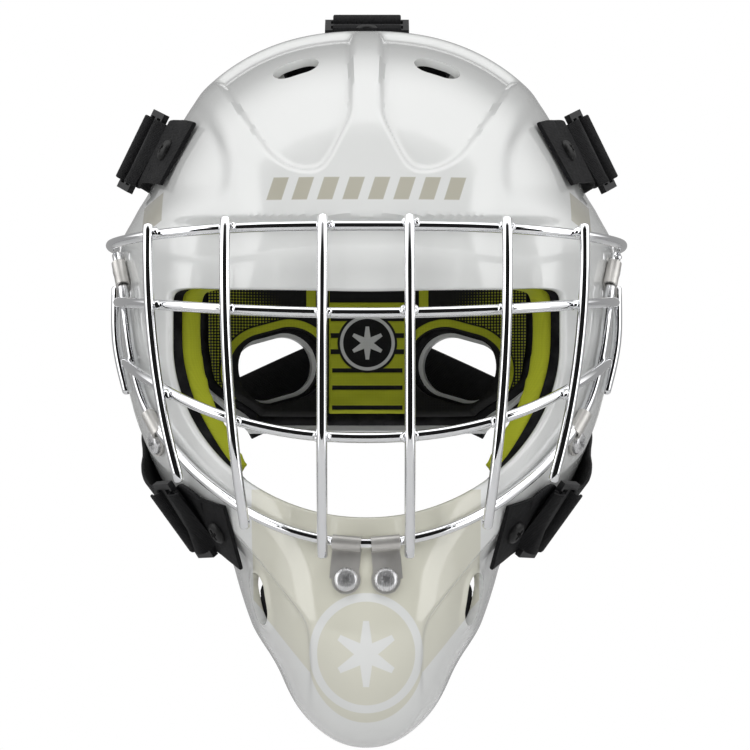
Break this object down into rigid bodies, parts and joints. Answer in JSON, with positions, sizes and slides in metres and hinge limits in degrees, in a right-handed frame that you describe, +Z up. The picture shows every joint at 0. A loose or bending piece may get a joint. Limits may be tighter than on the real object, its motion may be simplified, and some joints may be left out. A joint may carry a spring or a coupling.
{
  "type": "goalie mask",
  "caption": "Ice-hockey goalie mask: hard shell with a welded wire face cage, elastic straps holding a padded back plate, inner pads and a chin cup.",
  "frame": {"origin": "centre of the wearer's head, level with the middle of the eye opening", "axes": "+X to the right as seen from in front, +Y towards the back of the head, +Z up; the face looks along -Y"},
  "size_m": [0.2484, 0.2972, 0.3496],
  "materials": {
    "shell_gloss": "white gel coat over a fibre composite",
    "wire_chrome": "bright chrome plate on steel wire",
    "clip_steel": "stainless sheet",
    "screw_steel": "polished stainless pan head",
    "screw_black": "black oxide pan head",
    "nut_steel": "zinc plated",
    "rivet_steel": "nickel plated",
    "webbing_black": "black elastic webbing",
    "buckle_black": "black moulded plastic",
    "plate_white": "white moulded plastic",
    "cup_black": "black moulded plastic",
    "pad_green": "yellow-green faced foam",
    "pad_mesh": "yellow-green foam under black mesh",
    "foam_black": "black closed-cell foam"
  },
  "bodies": {
    "mask": {"buckle_lower_left": "buckle_black", "buckle_lower_right": "buckle_black", "buckle_top": "buckle_black", "buckle_upper_left": "buckle_black", "buckle_upper_right": "buckle_black", "cage_brow_bar": "wire_chrome", "cage_cheek_bar": "wire_chrome", "cage_ear_bar_left": "wire_chrome", "cage_ear_bar_right": "wire_chrome", "cage_perimeter_wire": "wire_chrome", "cage_screws": "screw_steel", "cage_top_bar": "wire_chrome", "cage_upright_inner_left": "wire_chrome", "cage_upright_inner_right": "wire_chrome", "cage_upright_middle_left": "wire_chrome", "cage_upright_middle_right": "wire_chrome", "cage_upright_outer_left": "wire_chrome", "cage_upright_outer_right": "wire_chrome", "cheek_foam_left": "foam_black", "cheek_foam_right": "foam_black", "cheek_liner_left": "pad_green", "cheek_liner_right": "pad_green", "chin_snaps": "rivet_steel", "clip_chin_left": "clip_steel", "clip_chin_right": "clip_steel", "clip_lower_left": "clip_steel", "clip_lower_right": "clip_steel", "clip_upper_left": "clip_steel", "clip_upper_right": "clip_steel", "crown_pad": "foam_black", "harness_tab_lower_left": "webbing_black", "harness_tab_lower_right": "webbing_black", "harness_tab_top": "webbing_black", "harness_tab_upper_left": "webbing_black", "harness_tab_upper_right": "webbing_black", "jaw_pad_left": "foam_black", "jaw_pad_right": "foam_black", "mask_shell": "shell_gloss", "strap_lower_left": "webbing_black", "strap_lower_right": "webbing_black", "strap_top": "webbing_black", "strap_upper_left": "webbing_black", "strap_upper_right": "webbing_black", "sweatband": "foam_black", "t_nuts": "nut_steel", "tab_screws": "screw_black", "temple_pad_left": "foam_black", "temple_pad_right": "foam_black"},
    "back_plate_group": {"back_plate": "plate_white", "back_foam": "foam_black", "back_pad_centre": "pad_green", "back_pad_left": "pad_mesh", "back_pad_right": "pad_mesh", "rear_strap_left": "webbing_black", "rear_strap_right": "webbing_black", "strap_rivets": "rivet_steel"},
    "chin_sling": {"chin_cup": "cup_black", "chin_strap_left": "webbing_black", "chin_strap_right": "webbing_black"}
  },
  "joints": [
    {"name": "back_plate_swing", "type": "hinge", "parent": "mask", "child": "back_plate_group", "pos_m": [0, 0.072, 0.15], "axis": [1, 0, 0], "range_deg": [0, 38], "stiffness_Nm_per_rad": 1.5, "springref_deg": -5.73, "deforming": ["strap_lower_left", "strap_lower_right", "strap_top", "strap_upper_left", "strap_upper_right"]},
    {"name": "chin_cup_swing", "type": "hinge", "parent": "mask", "child": "chin_sling", "pos_m": [0, -0.07, -0.082], "axis": [1, 0, 0], "range_deg": [-24, 20], "stiffness_Nm_per_rad": 0.15}
  ]
}
